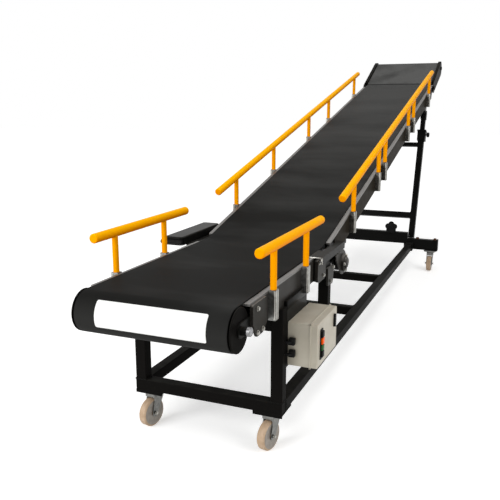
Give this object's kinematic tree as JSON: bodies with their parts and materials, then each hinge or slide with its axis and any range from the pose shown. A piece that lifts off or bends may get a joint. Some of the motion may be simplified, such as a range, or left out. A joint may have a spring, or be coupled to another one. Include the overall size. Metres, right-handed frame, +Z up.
{
  "type": "truck loading conveyor",
  "caption": "Wheeled belt conveyor with a level infeed, an inclined boom on telescopic legs and a tilting head, with yellow side rails and a control box, for loading trucks.",
  "frame": {"origin": "on the floor under the middle of the whole machine", "axes": "+Y along the belt towards the truck, +X to the right seen from the loading end, +Z up"},
  "size_m": [1.08, 5.1943, 1.8097],
  "materials": {
    "belt": "matt black conveyor belting",
    "frame_paint": "gloss black paint",
    "channel_paint": "dark grey paint",
    "zinc": "zinc plated",
    "roller_steel": "turned steel",
    "bed_steel": "worn sheet steel",
    "rail_paint": "amber yellow gloss paint",
    "wheel_tread": "tan polyurethane tread",
    "box_paint": "beige grey powder coat",
    "black_plastic": "moulded black plastic",
    "button_plastic": "coloured push buttons"
  },
  "bodies": {
    "chassis": {"base_rails": "frame_paint", "front_beam": "frame_paint", "cross_members": "frame_paint", "rear_beam": "frame_paint", "uprights": "frame_paint", "caster_plates": "zinc", "infeed_belt": "belt", "front_drum": "frame_paint", "infeed_rollers": "roller_steel", "infeed_bed": "bed_steel", "infeed_channels": "channel_paint", "infeed_ties": "frame_paint", "take_up_plates": "frame_paint", "side_plates": "channel_paint", "knee_plates": "frame_paint", "infeed_sockets": "zinc", "infeed_handrails": "rail_paint", "infeed_rail_posts": "rail_paint", "side_guard": "frame_paint", "guard_arms": "frame_paint", "knee_cover": "frame_paint", "control_panel": "frame_paint", "control_box": "box_paint", "control_lid": "box_paint", "button_plate": "black_plastic", "push_buttons": "button_plastic", "lid_lock": "black_plastic", "cable_glands": "black_plastic", "hand_knob": "black_plastic", "leg_foot_lugs": "frame_paint"},
    "boom": {"boom_belt": "belt", "boom_rollers": "roller_steel", "drive_drum": "roller_steel", "boom_bed": "bed_steel", "boom_channels": "channel_paint", "boom_ties": "frame_paint", "boom_foot_plates": "frame_paint", "boom_tip_plates": "frame_paint", "drive_hangers": "frame_paint", "drive_flanges": "frame_paint", "boom_sockets": "zinc", "boom_handrails": "rail_paint", "boom_rail_posts": "rail_paint", "boom_leg_lugs": "frame_paint"},
    "head": {"head_belt": "belt", "head_rollers": "roller_steel", "head_bed": "bed_steel", "head_plates": "frame_paint"},
    "legs": {"leg_outer_tubes": "frame_paint", "leg_ties": "frame_paint", "leg_collars": "frame_paint"},
    "leg_slides": {"leg_inner_tubes": "frame_paint"},
    "caster_front_left": {"caster_fork_front_left": "zinc"},
    "wheel_front_left": {"caster_wheel_front_left": "wheel_tread"},
    "caster_front_right": {"caster_fork_front_right": "zinc"},
    "wheel_front_right": {"caster_wheel_front_right": "wheel_tread"},
    "caster_rear_left": {"caster_fork_rear_left": "zinc"},
    "wheel_rear_left": {"caster_wheel_rear_left": "wheel_tread"},
    "caster_rear_right": {"caster_fork_rear_right": "zinc"},
    "wheel_rear_right": {"caster_wheel_rear_right": "wheel_tread"}
  },
  "joints": [
    {"name": "boom_lift", "type": "hinge", "parent": "chassis", "child": "boom", "pos_m": [0, -1.50666, 0.69], "axis": [1, 0, 0], "range_deg": [-2, 7]},
    {"name": "head_tilt", "type": "hinge", "parent": "boom", "child": "head", "pos_m": [0, 2.06193, 1.54674], "axis": [1, 0, 0], "range_deg": [-20, 10]},
    {"name": "leg_swing", "type": "hinge", "parent": "chassis", "child": "legs", "pos_m": [0, 1.28333, 0.222], "axis": [1, 0, 0], "range_deg": [-4, 10]},
    {"name": "leg_extend", "type": "slide", "parent": "legs", "child": "leg_slides", "axis": [0, 0.3299, 0.944], "range_m": [-0.12, 0.36]},
    {"name": "swivel_front_left", "type": "hinge", "parent": "chassis", "child": "caster_front_left", "pos_m": [-0.275, -2.09166, 0.172], "axis": [0, 0, 1], "continuous": true},
    {"name": "roll_front_left", "type": "hinge", "parent": "caster_front_left", "child": "wheel_front_left", "pos_m": [-0.28228, -2.1259, 0.0625], "axis": [0.9781, -0.2079, 0], "continuous": true},
    {"name": "swivel_front_right", "type": "hinge", "parent": "chassis", "child": "caster_front_right", "pos_m": [0.275, -2.09166, 0.172], "axis": [0, 0, 1], "continuous": true},
    {"name": "roll_front_right", "type": "hinge", "parent": "caster_front_right", "child": "wheel_front_right", "pos_m": [0.26772, -2.1259, 0.0625], "axis": [0.9781, -0.2079, 0], "continuous": true},
    {"name": "swivel_rear_left", "type": "hinge", "parent": "chassis", "child": "caster_rear_left", "pos_m": [-0.485, 1.22334, 0.172], "axis": [0, 0, 1], "continuous": true},
    {"name": "roll_rear_left", "type": "hinge", "parent": "caster_rear_left", "child": "wheel_rear_left", "pos_m": [-0.485, 1.18833, 0.0625], "axis": [1, 0, 0], "continuous": true},
    {"name": "swivel_rear_right", "type": "hinge", "parent": "chassis", "child": "caster_rear_right", "pos_m": [0.485, 1.22334, 0.172], "axis": [0, 0, 1], "continuous": true},
    {"name": "roll_rear_right", "type": "hinge", "parent": "caster_rear_right", "child": "wheel_rear_right", "pos_m": [0.485, 1.18833, 0.0625], "axis": [1, 0, 0], "continuous": true}
  ],
  "couplings": [
    {"joint": "leg_swing", "follows": "boom_lift", "ratio": 1.2531},
    {"joint": "leg_extend", "follows": "boom_lift", "m_per_rad": 2.8021}
  ]
}
